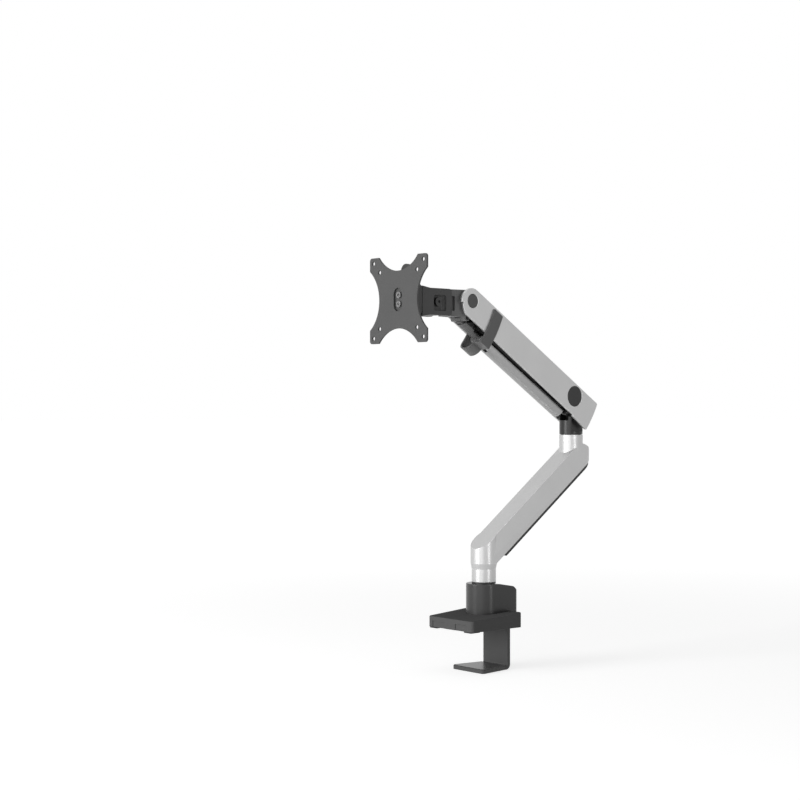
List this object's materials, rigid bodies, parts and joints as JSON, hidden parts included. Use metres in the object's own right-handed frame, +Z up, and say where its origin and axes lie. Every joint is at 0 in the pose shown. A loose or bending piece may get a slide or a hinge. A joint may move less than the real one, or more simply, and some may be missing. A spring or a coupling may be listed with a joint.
{
  "type": "monitor arm",
  "caption": "Desk-clamp monitor arm with a sloping lower arm, a balanced parallel-link upper arm and a panning, tilting, turning screen plate.",
  "frame": {"origin": "on the desk surface under the foot, on the axis of the post", "axes": "+X to the user's right, +Y away from the user, +Z up"},
  "size_m": [0.1146, 0.363, 0.559],
  "materials": {
    "silver": "satin silver paint",
    "dark_casting": "black powder coat",
    "dark_steel": "dark grey powder coat",
    "dark_plastic": "fine moulded grain",
    "bright_steel": "zinc plated",
    "black_steel": "black oxide",
    "nylon": "plain black nylon",
    "rubber": "matt foam rubber"
  },
  "bodies": {
    "base": {"foot_cover": "dark_plastic", "base_plate": "dark_steel", "base_screws": "bright_steel", "foot_pads": "rubber", "post": "dark_steel", "thrust_washer": "nylon", "post_housing": "dark_plastic"},
    "clamp": {"clamp_bracket": "dark_steel", "lip_pad": "rubber", "clamp_nut": "black_steel"},
    "clamp_screw": {"clamp_screw": "bright_steel"},
    "lower_arm": {"lower_arm": "silver", "post_bushes": "nylon", "grub_screw": "bright_steel", "elbow_bush": "nylon", "cable_cover": "dark_plastic"},
    "elbow": {"elbow_bracket": "dark_casting", "stem_washer": "bright_steel", "stem_screw": "bright_steel", "elbow_link_pins": "bright_steel", "spring_foot_pin": "bright_steel"},
    "upper_arm": {"upper_arm_shell": "silver", "main_pivot_pin": "bright_steel", "main_pivot_caps": "dark_plastic", "main_pivot_washers": "nylon", "head_pivot_pin": "bright_steel", "head_pivot_caps": "dark_plastic", "head_pivot_washers": "nylon", "gas_cylinder": "black_steel", "spring_anchor_pin": "bright_steel", "cable_clip": "dark_plastic"},
    "lower_link": {"lower_link": "silver", "link_elbow_lug": "black_steel", "link_head_lug": "dark_casting"},
    "gas_rod": {"gas_rod": "black_steel", "rod_eye": "black_steel"},
    "knuckle": {"knuckle": "dark_casting", "head_link_pin": "bright_steel", "pan_pin": "bright_steel"},
    "pan": {"pan_core": "dark_casting", "pan_washers": "nylon"},
    "tilt": {"head_fork": "dark_casting", "tilt_bolt": "black_steel", "tilt_nut": "black_steel", "tilt_washers": "nylon", "rotation_washer": "nylon"},
    "plate": {"screen_plate": "dark_steel", "plate_screws": "black_steel", "rotation_spindle": "bright_steel", "rotation_nut": "bright_steel", "release_block": "dark_casting", "latch_springs": "bright_steel"},
    "latch": {"release_latch": "dark_plastic"}
  },
  "joints": [
    {"name": "clamp_slide", "type": "slide", "parent": "base", "child": "clamp", "axis": [0, 0, 1], "range_m": [0, 0.036]},
    {"name": "clamp_screw_turn", "type": "hinge", "parent": "base", "child": "clamp_screw", "pos_m": [0, 0.032, 0.03], "axis": [0, 0, -1], "range_deg": [0, 10369]},
    {"name": "base_swivel", "type": "hinge", "parent": "base", "child": "lower_arm", "pos_m": [0, 0, 0.062], "axis": [0, 0, 1], "range_deg": [-90, 90]},
    {"name": "elbow_swivel", "type": "hinge", "parent": "lower_arm", "child": "elbow", "pos_m": [0, 0.174, 0.262], "axis": [0, 0, 1], "range_deg": [-180, 180]},
    {"name": "arm_lift", "type": "hinge", "parent": "elbow", "child": "upper_arm", "pos_m": [0, 0.16, 0.317], "axis": [-1, 0, 0], "range_deg": [-67.62, 12.38]},
    {"name": "link_swing", "type": "hinge", "parent": "elbow", "child": "lower_link", "pos_m": [0, 0.155, 0.294], "axis": [-1, 0, 0], "range_deg": [-68.12, 12.88]},
    {"name": "rod_slide", "type": "slide", "parent": "upper_arm", "child": "gas_rod", "axis": [0, 0.8423, -0.5391], "range_m": [-0.01752, 0.00337]},
    {"name": "knuckle_level", "type": "hinge", "parent": "upper_arm", "child": "knuckle", "pos_m": [0, -0.04, 0.445], "axis": [-1, 0, 0], "range_deg": [-12.88, 68.12]},
    {"name": "head_pan", "type": "hinge", "parent": "knuckle", "child": "pan", "pos_m": [0, -0.07, 0.441], "axis": [0, 0, 1], "range_deg": [-30, 30]},
    {"name": "head_tilt", "type": "hinge", "parent": "pan", "child": "tilt", "pos_m": [0, -0.1015, 0.4415], "axis": [-1, 0, 0], "range_deg": [-30, 30]},
    {"name": "plate_rotate", "type": "hinge", "parent": "tilt", "child": "plate", "pos_m": [0, -0.132, 0.4432], "axis": [0, -1, 0], "range_deg": [-90, 90]},
    {"name": "latch_press", "type": "slide", "parent": "plate", "child": "latch", "axis": [0, 0, -1], "range_m": [0, 0.003], "stiffness_N_per_m": 800, "deforming": ["latch_springs"]}
  ],
  "couplings": [
    {"joint": "clamp_screw_turn", "follows": "clamp_slide", "rad_per_m": 5026.5},
    {"joint": "link_swing", "follows": "arm_lift", "ratio": 1},
    {"joint": "rod_slide", "follows": "arm_lift", "m_per_rad": 0.014676},
    {"joint": "knuckle_level", "follows": "arm_lift", "ratio": -1}
  ]
}
